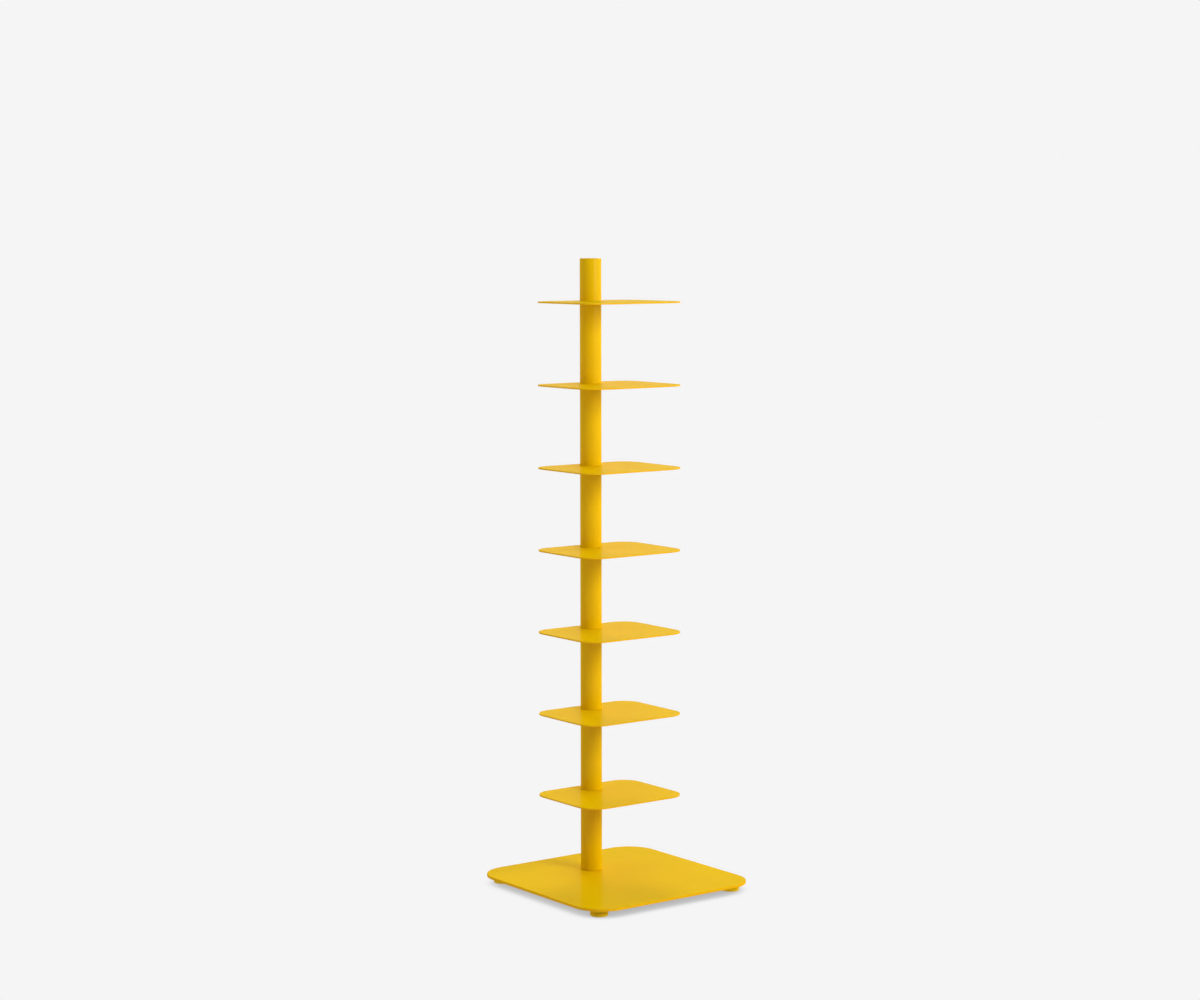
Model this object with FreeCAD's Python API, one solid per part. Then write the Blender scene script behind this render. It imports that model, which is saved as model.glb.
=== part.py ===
import FreeCAD, Part
import math
import os

# A free-standing spine bookshelf, in millimetres. The origin is on the floor under the
# middle of the base plate and +Z is up. The column stands behind the middle, and the
# shelves reach out from it towards -Y, the front.

# Base plate
BASE_SIDE = 350.0
BASE_CORNER_RADIUS = 54.0
BASE_THICKNESS = 4.5
BASE_EDGE_ROUND = 0.9

# Column: a round tube that stands on the base plate
COLUMN_DIAMETER = 37.0
COLUMN_WALL = 2.0
COLUMN_SETBACK = 70.4           # from the middle of the base back to the column's axis
COLUMN_ABOVE_SHELVES = 72.8     # from the highest shelf to the very top

# Cap: a ribbed insert that closes the column's top end
CAP_RIM_THICKNESS = 3.0
CAP_EDGE_ROUND = 1.2
CAP_SKIRT_LENGTH = 15.0
CAP_SKIRT_WALL = 1.6
CAP_RIB_COUNT = 3
CAP_RIB_DEPTH = 2.2             # how far a rib stands out from the skirt
CAP_RIB_THICKNESS = 1.6

# Plug: a solid steel slug in the column's bottom end, tapped for the base screws
PLUG_LENGTH = 18.0
PLUG_CHAMFER = 1.0

# Shelves: equal plates that the column passes through
SHELF_COUNT = 7
SHELF_WIDTH = 209.0
SHELF_DEPTH = 173.0
SHELF_CORNER_RADIUS = 35.0
SHELF_THICKNESS = 2.5
SHELF_EDGE_ROUND = 0.7
SHELF_SPACING = 141.6           # between upper faces, and from the base to the first
SHELF_BEHIND_AXIS = 33.4        # from the column's axis to a shelf's back edge
SHELF_WELD_LEG = 3.0            # fillet weld under each shelf
SHELF_WELD_HOLLOW = 0.35        # how far the weld's face bows in

# Screws and washers that hold the column on the base plate
SCREW_COUNT = 3
SCREW_CIRCLE = 20.0
SCREW_DIAMETER = 6.0
SCREW_LENGTH = 14.0
SCREW_HEAD_DIAMETER = 10.5
SCREW_HEAD_HEIGHT = 3.3
SCREW_CROWN_DIAMETER = 6.5      # flat part of the button head
SCREW_HEAD_BOW = 0.45           # how far the head's side bows out
SCREW_SOCKET_WIDTH = 4.0        # across the flats of the hexagon
SCREW_SOCKET_DEPTH = 2.0
SCREW_TIP_CHAMFER = 0.8
SCREW_HOLE_GAP = 0.3
WASHER_DIAMETER = 12.0
WASHER_THICKNESS = 1.6
WASHER_HOLE_GAP = 0.2

# Levelling feet: boss under the plate, stud and disc that turn as one, swivel pad
FOOT_INSET = 34.5               # from two edges of the base plate to a foot's axis
BOSS_DIAMETER = 29.0
BOSS_HEIGHT = 6.5
BOSS_CHAMFER = 0.5
STUD_DIAMETER = 8.0
STUD_ROOF = 2.0                 # steel left in the base plate above a stud's hole
STUD_TIP_GAP = 0.5
STUD_TIP_CHAMFER = 0.8
STUD_SEAT_DEPTH = 3.0           # how deep the stud sits in its disc
GLIDE_DIAMETER = 30.0
GLIDE_HEIGHT = 6.0
GLIDE_TOP_CHAMFER = 0.5
GLIDE_BOTTOM_ROUND = 1.3
PAD_DIAMETER = 24.0
PAD_THICKNESS = 1.8
PAD_PROUD = 0.5                 # how far the pad stands below its disc
PIVOT_DIAMETER = 6.0
PIVOT_HEIGHT = 1.0

# Fits, as gaps on the radius
SHELF_HOLE_GAP = 0.1
PRESS_GAP = 0.02
RUNNING_GAP = 0.08

# Levels and places that follow from the sizes above
GLIDE_BOTTOM_Z = PAD_PROUD
GLIDE_TOP_Z = GLIDE_BOTTOM_Z + GLIDE_HEIGHT
BASE_UNDERSIDE_Z = GLIDE_TOP_Z + BOSS_HEIGHT
BASE_TOP_Z = BASE_UNDERSIDE_Z + BASE_THICKNESS
TOP_SHELF_Z = BASE_TOP_Z + SHELF_COUNT * SHELF_SPACING
COLUMN_TOP_Z = TOP_SHELF_Z + COLUMN_ABOVE_SHELVES
COLUMN_RADIUS = COLUMN_DIAMETER / 2
COLUMN_BORE_RADIUS = COLUMN_RADIUS - COLUMN_WALL
SHELF_CENTRE_Y = COLUMN_SETBACK + SHELF_BEHIND_AXIS - SHELF_DEPTH / 2
FOOT_OFFSET = BASE_SIDE / 2 - FOOT_INSET
STUD_HOLE_TOP_Z = BASE_TOP_Z - STUD_ROOF

UP = FreeCAD.Vector(0, 0, 1)
SAME_PLACE = 1e-6
LARGEST_ROUND = 0.45            # share of a wall that one rounded edge may take


def at(shape, x, y, z=0.0):
    """The shape, moved to this place."""
    moved = shape.copy()
    moved.translate(FreeCAD.Vector(x, y, z))
    return moved


def rod(radius, bottom_z, top_z):
    """Solid round bar on the Z axis."""
    return Part.makeCylinder(radius, top_z - bottom_z, FreeCAD.Vector(0, 0, bottom_z))


def turned(profile):
    """Solid of revolution about the Z axis from (radius, height) points."""
    points = [FreeCAD.Vector(radius, 0, height) for radius, height in profile]
    face = Part.Face(Part.makePolygon(points + points[:1]))
    return face.revolve(FreeCAD.Vector(0, 0, 0), UP, 360)


def bowed_edge(start, end, bow):
    """Arc in the XZ plane from start to end that bows to its right by this much."""
    run = end - start
    outward = FreeCAD.Vector(run.z, 0, -run.x).normalize()
    return Part.Arc(start, (start + end) / 2 + outward * bow, end).toShape()


def swept_round(edges):
    """Solid of revolution about the Z axis from a closed loop of edges."""
    return Part.Face(Part.Wire(edges)).revolve(FreeCAD.Vector(0, 0, 0), UP, 360)


def soft_rim(disc, edge_round, wall, height):
    """The disc on the Z axis with its outer edge at this height rounded."""
    level = [edge for edge in disc.Edges if abs(edge.CenterOfMass.z - height) < SAME_PLACE]
    outer = [edge for edge in level if edge.isClosed()]
    return disc.makeFillet(min(edge_round, LARGEST_ROUND * wall), outer)


def rounded_square(width, depth, corner_radius):
    """Closed outline of four straight sides and four corner arcs, centred on the origin."""
    side_x = width / 2 - corner_radius
    side_y = depth / 2 - corner_radius
    corners = [(side_x, side_y), (-side_x, side_y), (-side_x, -side_y), (side_x, -side_y)]
    arcs = []
    for quarter, (x, y) in enumerate(corners):
        start = 90 * quarter
        arcs.append(Part.makeCircle(corner_radius, FreeCAD.Vector(x, y, 0), UP, start, start + 90))
    edges = []
    for arc, following in zip(arcs, arcs[1:] + arcs[:1]):
        edges.append(arc)
        edges.append(Part.makeLine(arc.lastVertex().Point, following.firstVertex().Point))
    return Part.Wire(edges)


def rounded_plate(width, depth, corner_radius, thickness, edge_round):
    """Flat plate with its underside on z = 0 and softened edges all round."""
    plate = Part.Face(rounded_square(width, depth, corner_radius)).extrude(UP * thickness)
    level_edges = [edge for edge in plate.Edges if edge.BoundBox.ZLength < thickness / 2]
    return plate.makeFillet(min(edge_round, LARGEST_ROUND * thickness), level_edges)


def foot_places():
    """Foot axes in order round the base, from the front left."""
    corners = [(-1, -1), (1, -1), (1, 1), (-1, 1)]
    return [(FOOT_OFFSET * x, FOOT_OFFSET * y) for x, y in corners]


def screw_places():
    """Axes of the base screws, on a circle round the column's axis."""
    places = []
    for index in range(SCREW_COUNT):
        turn = math.radians(90 + 360 * index / SCREW_COUNT)
        x = SCREW_CIRCLE / 2 * math.cos(turn)
        y = COLUMN_SETBACK + SCREW_CIRCLE / 2 * math.sin(turn)
        places.append((x, y))
    return places


def base_plate():
    """Base plate with screw holes under the column and a blind hole over each foot."""
    plate = rounded_plate(BASE_SIDE, BASE_SIDE, BASE_CORNER_RADIUS, BASE_THICKNESS, BASE_EDGE_ROUND)
    plate = at(plate, 0, 0, BASE_UNDERSIDE_Z)
    screw_hole = rod(SCREW_DIAMETER / 2 + SCREW_HOLE_GAP, BASE_UNDERSIDE_Z, BASE_TOP_Z)
    stud_hole = rod(STUD_DIAMETER / 2 + RUNNING_GAP, BASE_UNDERSIDE_Z, STUD_HOLE_TOP_Z)
    holes = [at(screw_hole, x, y) for x, y in screw_places()]
    holes += [at(stud_hole, x, y) for x, y in foot_places()]
    return plate.cut(holes)


def column_tube():
    """The column's tube, from the base plate up to the cap's rim."""
    top_z = COLUMN_TOP_Z - CAP_RIM_THICKNESS
    tube = rod(COLUMN_RADIUS, BASE_TOP_Z, top_z).cut(rod(COLUMN_BORE_RADIUS, BASE_TOP_Z, top_z))
    return at(tube, 0, COLUMN_SETBACK)


def column_cap():
    """Round cap: a rim as wide as the tube on a hollow skirt with ribs that grip the bore."""
    rim_z = COLUMN_TOP_Z - CAP_RIM_THICKNESS
    skirt_end_z = rim_z - CAP_SKIRT_LENGTH
    rib_radius = COLUMN_BORE_RADIUS - PRESS_GAP
    skirt_radius = rib_radius - CAP_RIB_DEPTH
    rim = rod(COLUMN_RADIUS, rim_z, COLUMN_TOP_Z)
    rim = soft_rim(rim, CAP_EDGE_ROUND, CAP_RIM_THICKNESS, COLUMN_TOP_Z)
    cap = rim.fuse(rod(skirt_radius, skirt_end_z, rim_z))
    rib_pitch = CAP_SKIRT_LENGTH / CAP_RIB_COUNT
    for index in range(CAP_RIB_COUNT):
        rib_bottom_z = skirt_end_z + rib_pitch * index + (rib_pitch - CAP_RIB_THICKNESS) / 2
        rib_top_z = rib_bottom_z + CAP_RIB_THICKNESS
        cap = cap.fuse(turned([
            (0, rib_bottom_z),
            (skirt_radius, rib_bottom_z),
            (rib_radius, rib_bottom_z + CAP_RIB_THICKNESS / 2),
            (rib_radius, rib_top_z),
            (0, rib_top_z),
        ]))
    hollow = rod(skirt_radius - CAP_SKIRT_WALL, skirt_end_z, rim_z)
    return at(cap.cut(hollow), 0, COLUMN_SETBACK)


def column_plug():
    """Solid plug at the tube's foot, with a tapped hole for each base screw."""
    radius = COLUMN_BORE_RADIUS - PRESS_GAP
    top_z = BASE_TOP_Z + PLUG_LENGTH
    plug = turned([
        (0, BASE_TOP_Z),
        (radius, BASE_TOP_Z),
        (radius, top_z - PLUG_CHAMFER),
        (radius - PLUG_CHAMFER, top_z),
        (0, top_z),
    ])
    hole = rod(SCREW_DIAMETER / 2 + PRESS_GAP, BASE_TOP_Z, top_z)
    return at(plug, 0, COLUMN_SETBACK).cut([at(hole, x, y) for x, y in screw_places()])


def shelf(top_z):
    """One shelf plate with the hole that the column passes through."""
    underside_z = top_z - SHELF_THICKNESS
    plate = rounded_plate(SHELF_WIDTH, SHELF_DEPTH, SHELF_CORNER_RADIUS, SHELF_THICKNESS, SHELF_EDGE_ROUND)
    hole = rod(COLUMN_RADIUS + SHELF_HOLE_GAP, underside_z, top_z)
    return at(plate, 0, SHELF_CENTRE_Y, underside_z).cut(at(hole, 0, COLUMN_SETBACK))


def shelf_weld(top_z):
    """Hollow-faced fillet weld in the corner between a shelf's underside and the tube."""
    corner_z = top_z - SHELF_THICKNESS
    outer = FreeCAD.Vector(COLUMN_RADIUS + SHELF_WELD_LEG, 0, corner_z)
    corner = FreeCAD.Vector(COLUMN_RADIUS, 0, corner_z)
    lower = FreeCAD.Vector(COLUMN_RADIUS, 0, corner_z - SHELF_WELD_LEG)
    ring = swept_round([
        Part.makeLine(outer, corner),
        Part.makeLine(corner, lower),
        bowed_edge(lower, outer, -SHELF_WELD_HOLLOW),
    ])
    return at(ring, 0, COLUMN_SETBACK)


def hexagon_socket(across_flats, bottom_z, top_z):
    """Six-sided bar on the Z axis, for a key socket."""
    radius = across_flats / math.sqrt(3)
    points = []
    for index in range(6):
        turn = math.radians(60 * index)
        points.append(FreeCAD.Vector(radius * math.cos(turn), radius * math.sin(turn), bottom_z))
    return Part.Face(Part.makePolygon(points + points[:1])).extrude(UP * (top_z - bottom_z))


def base_screw():
    """Button-head screw on the Z axis, head down, pushed up through the washer."""
    seat_z = BASE_UNDERSIDE_Z - WASHER_THICKNESS
    head_bottom_z = seat_z - SCREW_HEAD_HEIGHT
    axis_bottom = FreeCAD.Vector(0, 0, head_bottom_z)
    crown = FreeCAD.Vector(SCREW_CROWN_DIAMETER / 2, 0, head_bottom_z)
    brim = FreeCAD.Vector(SCREW_HEAD_DIAMETER / 2, 0, seat_z)
    axis_top = FreeCAD.Vector(0, 0, seat_z)
    head = swept_round([
        Part.makeLine(axis_bottom, crown),
        bowed_edge(crown, brim, SCREW_HEAD_BOW),
        Part.makeLine(brim, axis_top),
        Part.makeLine(axis_top, axis_bottom),
    ])
    shank_radius = SCREW_DIAMETER / 2
    tip_z = seat_z + SCREW_LENGTH
    shank = turned([
        (0, seat_z),
        (shank_radius, seat_z),
        (shank_radius, tip_z - SCREW_TIP_CHAMFER),
        (shank_radius - SCREW_TIP_CHAMFER, tip_z),
        (0, tip_z),
    ])
    socket = hexagon_socket(SCREW_SOCKET_WIDTH, head_bottom_z, head_bottom_z + SCREW_SOCKET_DEPTH)
    return head.fuse(shank).cut(socket).removeSplitter()


def base_washer():
    """Flat washer on the Z axis, against the plate's underside."""
    bottom_z = BASE_UNDERSIDE_Z - WASHER_THICKNESS
    blank = rod(WASHER_DIAMETER / 2, bottom_z, BASE_UNDERSIDE_Z)
    return blank.cut(rod(SCREW_DIAMETER / 2 + WASHER_HOLE_GAP, bottom_z, BASE_UNDERSIDE_Z))


def foot_boss():
    """Threaded boss that is welded to the plate's underside."""
    radius = BOSS_DIAMETER / 2
    hole_radius = STUD_DIAMETER / 2 + RUNNING_GAP
    return turned([
        (hole_radius, GLIDE_TOP_Z),
        (radius - BOSS_CHAMFER, GLIDE_TOP_Z),
        (radius, GLIDE_TOP_Z + BOSS_CHAMFER),
        (radius, BASE_UNDERSIDE_Z),
        (hole_radius, BASE_UNDERSIDE_Z),
    ])


def foot_stud():
    """Stud that is fixed in the disc and winds up into the boss and the plate."""
    radius = STUD_DIAMETER / 2
    bottom_z = GLIDE_TOP_Z - STUD_SEAT_DEPTH
    tip_z = STUD_HOLE_TOP_Z - STUD_TIP_GAP
    return turned([
        (0, bottom_z),
        (radius, bottom_z),
        (radius, tip_z - STUD_TIP_CHAMFER),
        (radius - STUD_TIP_CHAMFER, tip_z),
        (0, tip_z),
    ])


def foot_glide():
    """Disc with a seat for the stud above, and a recess for the pad below."""
    radius = GLIDE_DIAMETER / 2
    pivot_top_z = PAD_THICKNESS + PIVOT_HEIGHT + RUNNING_GAP
    disc = turned([
        (0, GLIDE_BOTTOM_Z),
        (radius, GLIDE_BOTTOM_Z),
        (radius, GLIDE_TOP_Z - GLIDE_TOP_CHAMFER),
        (radius - GLIDE_TOP_CHAMFER, GLIDE_TOP_Z),
        (0, GLIDE_TOP_Z),
    ])
    disc = soft_rim(disc, GLIDE_BOTTOM_ROUND, GLIDE_HEIGHT, GLIDE_BOTTOM_Z)
    return disc.cut([
        rod(STUD_DIAMETER / 2 + PRESS_GAP, GLIDE_TOP_Z - STUD_SEAT_DEPTH, GLIDE_TOP_Z),
        rod(PAD_DIAMETER / 2 + RUNNING_GAP, GLIDE_BOTTOM_Z, PAD_THICKNESS),
        rod(PIVOT_DIAMETER / 2 + RUNNING_GAP, PAD_THICKNESS, pivot_top_z),
    ])


def foot_pad():
    """Pad on the floor, with the pivot that its disc turns on."""
    pad = rod(PAD_DIAMETER / 2, 0, PAD_THICKNESS)
    return pad.fuse(rod(PIVOT_DIAMETER / 2, PAD_THICKNESS, PAD_THICKNESS + PIVOT_HEIGHT))


def build_nodes():
    """Every node's shape by its name."""
    shelf_levels = [BASE_TOP_Z + SHELF_SPACING * number for number in range(1, SHELF_COUNT + 1)]
    nodes = {
        "base_plate": base_plate(),
        "column_tube": column_tube(),
        "column_cap": column_cap(),
        "column_plug": column_plug(),
        "shelf_welds": Part.makeCompound([shelf_weld(level) for level in shelf_levels]),
        "base_screws": Part.makeCompound([at(base_screw(), x, y) for x, y in screw_places()]),
        "base_washers": Part.makeCompound([at(base_washer(), x, y) for x, y in screw_places()]),
    }
    for number, level in enumerate(shelf_levels, start=1):
        nodes[f"shelf_{number}"] = shelf(level)
    for number, (x, y) in enumerate(foot_places(), start=1):
        nodes[f"foot_boss_{number}"] = at(foot_boss(), x, y)
        nodes[f"foot_stud_{number}"] = at(foot_stud(), x, y)
        nodes[f"foot_glide_{number}"] = at(foot_glide(), x, y)
        nodes[f"foot_pad_{number}"] = at(foot_pad(), x, y)
    return nodes


def main():
    """Write one STEP file for each node."""
    os.makedirs("parts", exist_ok=True)
    for name, shape in build_nodes().items():
        shape.exportStep(f"parts/{name}.step")
        print(name, "solids", len(shape.Solids), "valid", shape.isValid(), "volume", round(shape.Volume, 1))


main()
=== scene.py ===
import math

import bmesh
import bpy
from mathutils import Matrix, Vector


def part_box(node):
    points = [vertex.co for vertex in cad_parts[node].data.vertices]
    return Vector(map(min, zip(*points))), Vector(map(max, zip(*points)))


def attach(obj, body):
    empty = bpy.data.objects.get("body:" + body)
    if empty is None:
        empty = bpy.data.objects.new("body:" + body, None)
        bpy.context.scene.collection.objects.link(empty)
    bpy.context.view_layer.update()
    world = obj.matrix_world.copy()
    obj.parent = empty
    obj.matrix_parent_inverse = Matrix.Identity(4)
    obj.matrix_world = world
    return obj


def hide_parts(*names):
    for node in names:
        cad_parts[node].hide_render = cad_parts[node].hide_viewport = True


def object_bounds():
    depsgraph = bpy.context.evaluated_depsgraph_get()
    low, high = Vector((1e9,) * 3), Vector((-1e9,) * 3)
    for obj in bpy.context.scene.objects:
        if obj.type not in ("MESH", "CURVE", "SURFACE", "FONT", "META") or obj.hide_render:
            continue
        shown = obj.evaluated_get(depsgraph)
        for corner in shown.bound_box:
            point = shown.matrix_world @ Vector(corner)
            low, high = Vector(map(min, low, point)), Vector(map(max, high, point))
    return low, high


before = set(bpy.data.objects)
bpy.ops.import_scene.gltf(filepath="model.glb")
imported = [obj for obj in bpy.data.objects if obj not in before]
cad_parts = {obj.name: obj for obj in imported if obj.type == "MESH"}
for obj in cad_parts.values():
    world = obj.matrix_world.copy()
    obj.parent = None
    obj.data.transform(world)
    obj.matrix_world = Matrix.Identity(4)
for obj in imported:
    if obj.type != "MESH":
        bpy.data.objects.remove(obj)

bl_info = {
    "name": "Spine Bookshelf",
    "version": (1, 0, 0),
    "blender": (4, 5, 0),
    "location": "3D View > Sidebar > Bookshelf",
    "description": "Builds a spine bookshelf's coated plates, column, welds, feet and screws, and a studio",
    "category": "Object",
}

MM = 0.001


def middle(low, high):
    """Middle of a box as seen from above, at height 0."""
    return Vector(((low.x + high.x) / 2, (low.y + high.y) / 2, 0))


def half_width(low, high):
    """Half of a box's width, which is the radius of a round piece."""
    return (high.x - low.x) / 2


# What the frame fixes. Lengths are in metres.
CAD_LOW, CAD_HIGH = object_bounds()
SHELF_NODES = [name for name in sorted(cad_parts) if name[:6] == "shelf_" and name[6:].isdigit()]
FOOT_NUMBERS = [name.rsplit("_", 1)[1] for name in sorted(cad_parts) if name.startswith("foot_pad_")]
COLUMN_RADIUS = half_width(*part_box("column_tube"))
COLUMN_AXIS = middle(*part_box("column_tube"))

# Angles, in degrees, past which an edge stays hard, or gets a plate's soft bevel.
TURNED_ANGLE = 25
PLATE_ANGLE = 30
THREAD_ANGLE = 35
BEVEL_ANGLE = 40

# Straight steps in small round forms, and flats in a screw's socket.
ROUND_EDGE_STEPS = 6
PAD_EDGE_STEPS = 4
DOME_STEPS = 6
SCREW_HOLE_STEPS = 32
STUD_HOLE_STEPS = 40
SOCKET_FLATS = 6

# Shares of another size.
THREAD_DEPTH = 0.6      # of the thread's pitch
HEAD_CROWN = 0.62       # of the screw head's radius
WELD_SUNK = 0.4         # of the weld's leg, from the column and from the shelf to the bead's middle

# Points nearer than this are one point.
MERGE_DISTANCE = 0.01 * MM
# The range in which nearly all values of a noise lie.
NOISE_SPAN = (0.3, 0.7)
# A thin clear layer gives the satin gloss, so that the colour under it stays full.
SATIN_SKIN = {"Metallic": 0.0, "Specular_IOR_Level": 0.0, "Coat_Weight": 0.07, "Coat_IOR": 2.0}
WHITE = (1.0, 1.0, 1.0, 1.0)

# Soft boxes: name, azimuth, distance from the column, height, width, power.
SOFT_BOXES = [
    ("key_box", 17.0, 3.1, 1.66, 1.2, 67.2),
    ("back_right_box", 143, 2.4, 2.3, 1.2, 39.4),
    ("left_box", -60, 1.8, 1.9, 1.0, 7.0),
    ("back_left_box", -165, 1.6, 1.9, 1.0, 5.2),
]
# Far lamps: name, azimuth, elevation, angular width, strength.
FAR_LAMPS = [
    ("right_lamp", 105, 8, 60, 2.05),
    ("left_rim_lamp", -130, 20, 60, 0.78),
    ("front_right_lamp", 60, 5, 40, 0.77),
    ("top_lamp", 0, 75, 60, 0.60),
    ("low_back_lamp", 143, 4, 20, 0.19),
]
FAR_LAMP_PLACE = 3      # metres out, which doesn't change their light
FLOOR_REACH = 60.0
FLOOR_SHADE_SAMPLES = 16
SENSOR_WIDTH = 36       # millimetres
CAMERA_REACH = 500


# Fields that the user can change

def number_field(name, description, default, **options):
    """A number."""
    return bpy.props.FloatProperty(name=name, description=description, default=default, **options)


def length_field(name, description, millimetres):
    """A length, with its default given in millimetres."""
    return number_field(name, description, millimetres * MM, unit="LENGTH")


def angle_field(name, description, degrees):
    """An angle, with its default given in degrees."""
    return number_field(name, description, math.radians(degrees), subtype="ANGLE")


def count_field(name, description, default, least):
    """A whole number."""
    return bpy.props.IntProperty(name=name, description=description, default=default, min=least)


def vector_field(name, description, subtype, default):
    """A colour or a place."""
    return bpy.props.FloatVectorProperty(
        name=name, description=description, subtype=subtype, size=3, default=default)


class PlateSizes(bpy.types.PropertyGroup):
    """Sizes of the shelves and the base plate that their boxes don't give."""

    shelf_corner: length_field("Shelf corner radius", "Radius of a shelf's corners", 35)
    shelf_edge: length_field("Shelf edge radius", "Radius of a shelf's softened edges", 0.7)
    base_corner: length_field("Base corner radius", "Radius of the base plate's corners", 54)
    base_edge: length_field("Base edge radius", "Radius of the base plate's softened edges", 0.9)
    corner_steps: count_field("Corner steps", "Straight steps in one round corner", 28, 4)
    edge_steps: count_field("Edge steps", "Straight steps in one softened edge", 4, 1)
    hole_gap: length_field("Column hole gap", "Gap between a shelf's hole and the column", 0.1)


class ColumnSizes(bpy.types.PropertyGroup):
    """Sizes of the column, its cap and the welds on it."""

    wall: length_field("Wall", "Wall of the tube", 2)
    seam: length_field("End bevel", "Bevel on the tube's ends and under the cap's rim", 0.4)
    cap_rim: length_field("Cap rim", "Thickness of the cap's rim", 3)
    cap_edge: length_field("Cap edge radius", "Radius of the cap's upper edge", 1.2)
    cap_skirt: length_field("Skirt wall", "Wall of the cap's skirt", 1.6)
    cap_ribs: count_field("Cap ribs", "Ribs that grip the tube's bore", 3, 1)
    cap_rib_depth: length_field("Rib depth", "How far a rib stands out from the skirt", 2.2)
    cap_rib_height: length_field("Rib height", "Height of one rib", 1.6)
    weld_leg: length_field("Weld leg", "Reach of a weld along the tube and along the shelf", 3)
    weld_ripples: count_field("Weld ripples", "Ripples in one weld ring", 74, 8)
    ripple_height: number_field(
        "Ripple height", "Height of a ripple, as a share of the bead", 0.32, subtype="FACTOR")
    unevenness: number_field(
        "Bead unevenness", "How much the bead's thickness wanders, as a share of it", 0.12, subtype="FACTOR")
    round_steps: count_field("Round steps", "Straight steps round the tube, its cap and its holes", 128, 16)


class FootSizes(bpy.types.PropertyGroup):
    """Sizes of the levelling feet that their boxes don't give."""

    boss_bevel: length_field("Boss bevel", "Bevel on a boss's lower edge", 0.5)
    disc_top_bevel: length_field("Disc bevel", "Bevel on a disc's upper edge", 0.5)
    disc_bottom_round: length_field("Disc edge radius", "Radius of a disc's lower edge", 1.3)
    running_gap: length_field("Running gap", "Gap round a stud and round a pad", 0.08)
    press_gap: length_field("Press gap", "Gap round a stud in its disc", 0.02)
    stud_pitch: length_field("Stud pitch", "Pitch of a stud's thread", 1.25)
    stud_tip_bevel: length_field("Stud tip bevel", "Bevel on a stud's tip", 0.8)
    stud_tip_gap: length_field("Stud tip gap", "Gap above a stud's tip in the base plate", 0.5)
    pad_thickness: length_field("Pad thickness", "Thickness of a pad without its pivot", 1.8)
    pad_edge: length_field("Pad edge radius", "Radius of a pad's lower edge", 0.3)
    pivot_radius: length_field("Pivot radius", "Radius of a pad's pivot", 3)
    round_steps: count_field("Round steps", "Straight steps round a foot's pieces", 96, 16)


class ScrewSizes(bpy.types.PropertyGroup):
    """Sizes of the base screws and washers that their boxes don't give."""

    count: count_field("Screws", "Screws that hold the column", 3, 1)
    circle: length_field("Screw circle", "Radius of the circle that the screws stand on", 10)
    radius: length_field("Screw radius", "Outer radius of a screw's thread", 3)
    pitch: length_field("Screw pitch", "Pitch of a screw's thread", 1)
    neck: length_field("Neck", "Plain length between a screw's head and its thread", 0.4)
    tip_bevel: length_field("Screw tip bevel", "Bevel on a screw's tip", 0.8)
    hole_gap: length_field("Screw hole gap", "Gap round a screw in the base plate", 0.3)
    head_height: length_field("Head height", "Height of a screw's head", 3.3)
    head_radius: length_field("Head radius", "Radius of a screw's head", 5.25)
    key: length_field("Key width", "Width across the flats of a screw's socket", 4)
    socket_depth: length_field("Socket depth", "Depth of the socket's flats", 2)
    socket_cone: length_field("Socket cone", "Depth of the cone in the socket's floor", 0.6)
    washer_radius: length_field("Washer radius", "Outer radius of a washer", 6)
    washer_gap: length_field("Washer gap", "Gap round a screw in its washer", 0.2)
    washer_bevel: length_field("Washer bevel", "Bevel on a washer's lower edge", 0.2)
    flat_steps: count_field("Head steps", "Straight steps round a head beside one flat of its socket", 8, 1)


class CoatLook(bpy.types.PropertyGroup):
    """Colours and grain of the finishes."""

    coat_colour: vector_field("Coat", "Colour of the powder coat", "COLOR", (0.81, 0.52, 0.001))
    # Painted shade: the plates' upright edges take this deeper, more orange colour, the hue of faces in
    # shade.
    shaded_edge_colour: vector_field(
        "Shaded edge coat", "Colour of the coat on the plates' edges", "COLOR", (0.88, 0.455, 0.0005))
    tube_colour: vector_field(
        "Tube coat", "Colour of the coat on the column and on the feet", "COLOR", (0.79, 0.50, 0.0005))
    steel_colour: vector_field("Steel", "Colour of the zinc-plated steel", "COLOR", (0.56, 0.57, 0.59))
    pad_colour: vector_field("Pad", "Colour of the swivel pads", "COLOR", (0.035, 0.035, 0.037))
    peel_size: length_field("Peel size", "Width of the soft dimples in the coat", 1.6)
    peel_depth: length_field("Peel depth", "Depth of the soft dimples in the coat", 0.006)


class StudioLook(bpy.types.PropertyGroup):
    """The camera, the lamps and the floor."""

    camera_place: vector_field(
        "Camera place", "Where the camera stands", "TRANSLATION", (-2.7104, -3.5928, 1.1280))
    camera_heading: angle_field("Heading", "Turn of the camera about the vertical", -36.697)
    camera_pitch: angle_field("Pitch", "Tilt of the camera, down is negative", -4.895)
    camera_roll: angle_field("Roll", "Roll of the camera about its axis", -0.083)
    camera_lens: number_field(
        "Lens", "Focal length on a sensor 36 mm wide", 79.52, min=10, unit="CAMERA")
    camera_shift: number_field("Shift", "Vertical shift of the picture, as a share of its width", -0.035)
    backdrop: vector_field(
        "Backdrop", "Colour of the floor and of what is behind it", "COLOR", (0.9131, 0.9131, 0.9131))
    sky_light: number_field("Sky light", "Strength of the even light from all round", 0.0, min=0)
    lamp_light: number_field("Lamp light", "Strength of all the lamps together", 1.0, min=0)
    floor_light: number_field("Floor light", "Strength of the light that the floor throws back", 0.71, min=0)
    shadow_reach: length_field("Shadow reach", "How far from a piece the floor is shaded", 90)
    shadow_depth: number_field(
        "Shadow depth", "Share of the floor's brightness that its darkest shade takes", 0.55,
        subtype="FACTOR")
    shadow_fall: number_field(
        "Shadow fall", "Power by which the shade thins out as the floor opens up", 3.0, min=1)


# Meshes

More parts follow.
